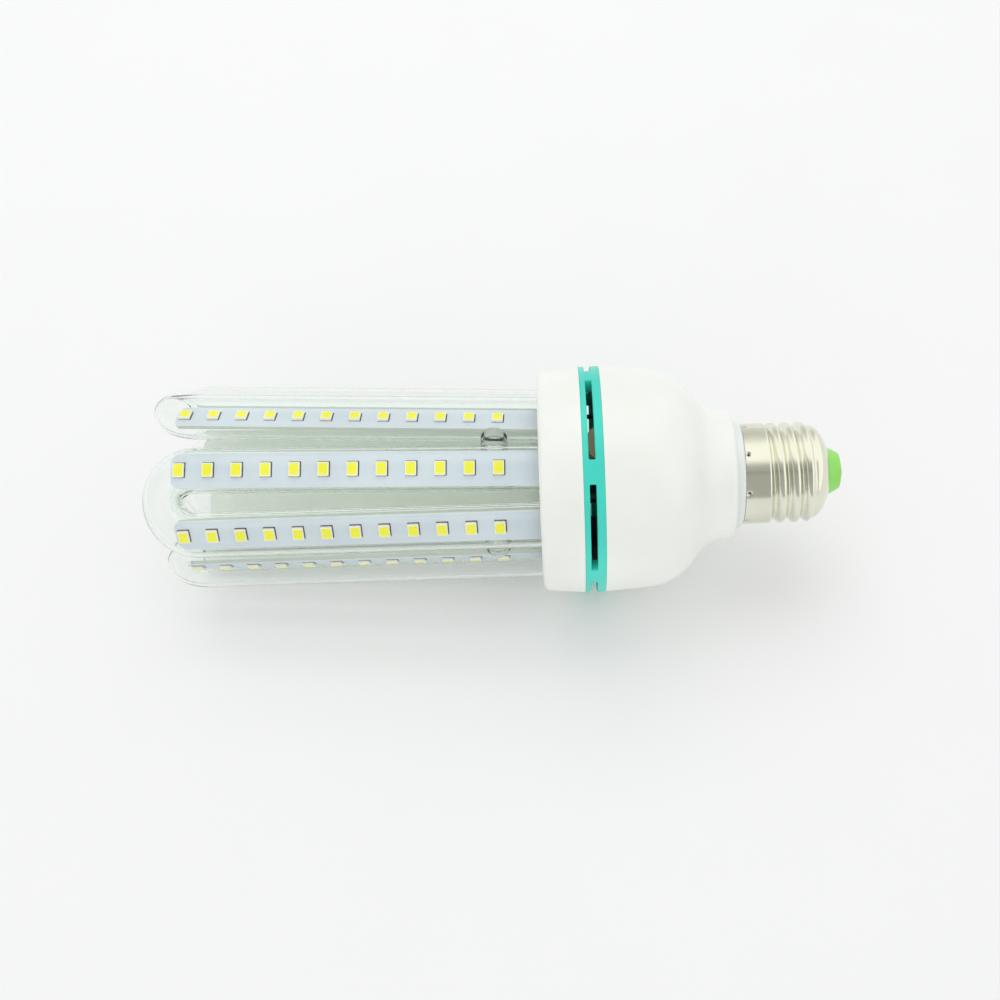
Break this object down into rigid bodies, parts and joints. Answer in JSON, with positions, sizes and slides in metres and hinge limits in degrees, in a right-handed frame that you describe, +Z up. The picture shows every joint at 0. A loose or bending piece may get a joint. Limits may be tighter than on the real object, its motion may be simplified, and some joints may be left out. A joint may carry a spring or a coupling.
{
  "type": "led light bulb",
  "caption": "Screw-cap LED bulb with U-bent glass tubes that hold LED strips, a white tube cover, a teal vent ring and a rounded white housing over the driver, lying on its side.",
  "frame": {"origin": "on the surface the bulb lies on, under the middle of its box", "axes": "+X along the length towards the screw cap, +Y away from the viewer, +Z up; the bulb lies at rest on the vent ring's edge and on the two lowest legs, so its axis drops about 3.4 degrees towards the tubes"},
  "size_m": [0.1798, 0.0594, 0.0595],
  "materials": {
    "bright_nickel": "bright nickel plate on thin sheet",
    "green_plastic": "smooth moulding",
    "white_plastic": "smooth gloss moulding",
    "teal_plastic": "smooth gloss moulding",
    "clear_glass": "clear tube with a faint green edge",
    "strip_board": "aluminium board with a pale coat on the front",
    "led_yellow": "white package with a yellow window",
    "board_green": "coated board",
    "capacitor_sleeve": "shrink sleeve",
    "ferrite": "matt ferrite",
    "winding": "lacquered copper wire",
    "film_yellow": "moulded box",
    "varistor_tan": "dipped coat",
    "rectifier_black": "moulded package",
    "fuse_grey": "cement coat",
    "lead_red": "insulated wire",
    "lead_black": "insulated wire",
    "link_tin": "tinned ribbon"
  },
  "bodies": {
    "root": {"screw_shell": "bright_nickel", "centre_contact": "bright_nickel", "base_insulator": "green_plastic", "lower_housing": "white_plastic", "tube_cover": "white_plastic", "vent_ring": "teal_plastic", "u_tube_1": "clear_glass", "u_tube_2": "clear_glass", "u_tube_3": "clear_glass", "u_tube_4": "clear_glass", "led_strip_1": "strip_board", "led_strip_2": "strip_board", "led_strip_3": "strip_board", "led_strip_4": "strip_board", "led_strip_5": "strip_board", "led_strip_6": "strip_board", "led_strip_7": "strip_board", "led_strip_8": "strip_board", "led_row_1": "led_yellow", "led_row_2": "led_yellow", "led_row_3": "led_yellow", "led_row_4": "led_yellow", "led_row_5": "led_yellow", "led_row_6": "led_yellow", "led_row_7": "led_yellow", "led_row_8": "led_yellow", "driver_board": "board_green", "smoothing_capacitor": "capacitor_sleeve", "transformer_core": "ferrite", "transformer_coil": "winding", "film_capacitor": "film_yellow", "varistor": "varistor_tan", "rectifier": "rectifier_black", "fuse_resistor": "fuse_grey", "live_lead": "lead_red", "strip_supply_lead": "lead_red", "neutral_lead": "lead_black", "strip_return_lead": "lead_black", "strip_links": "link_tin"}
  },
  "joints": []
}
